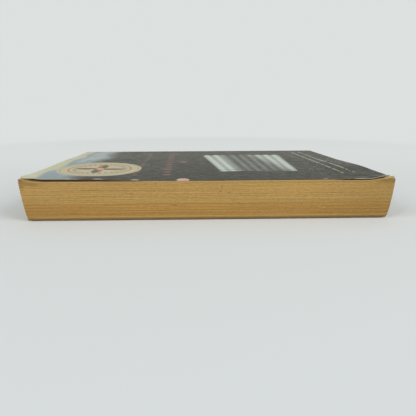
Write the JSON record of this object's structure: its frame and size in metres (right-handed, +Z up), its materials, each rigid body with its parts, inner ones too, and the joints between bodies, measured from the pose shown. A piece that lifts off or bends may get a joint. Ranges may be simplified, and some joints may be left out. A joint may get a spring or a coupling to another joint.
{
  "type": "paperback book",
  "caption": "Well-read pocket paperback on its back cover, with aged trimmed leaves, a rolled spine, curled corners and covers that open",
  "frame": {"origin": "on the surface the book lies on, under the middle of its box", "axes": "+X from the tail of the book to its head, +Y from the fore-edge to the spine, +Z up through the front cover"},
  "size_m": [0.178, 0.1132, 0.0219],
  "materials": {
    "aged_paper": "yellowed wood-pulp leaves, trimmed flush",
    "binding_glue": "aged hot-melt glue",
    "spine_card": "dark printed card with a rubbed satin varnish",
    "front_card": "dark printed card with pale printed shapes and a rubbed satin varnish",
    "back_card": "dark printed card with a rubbed satin varnish"
  },
  "bodies": {
    "book_block": {"page_block": "aged_paper", "spine_glue": "binding_glue", "spine_cover": "spine_card"},
    "front_cover": {"front_cover": "front_card"},
    "back_cover": {"back_cover": "back_card"}
  },
  "joints": [
    {"name": "front_cover_hinge", "type": "hinge", "parent": "book_block", "child": "front_cover", "pos_m": [0, 0.04839, 0.0203], "axis": [-1, 0, 0], "range_deg": [0, 175]},
    {"name": "back_cover_hinge", "type": "hinge", "parent": "book_block", "child": "back_cover", "pos_m": [0, 0.05079, 0], "axis": [1, 0, 0], "range_deg": [0, 175]}
  ]
}
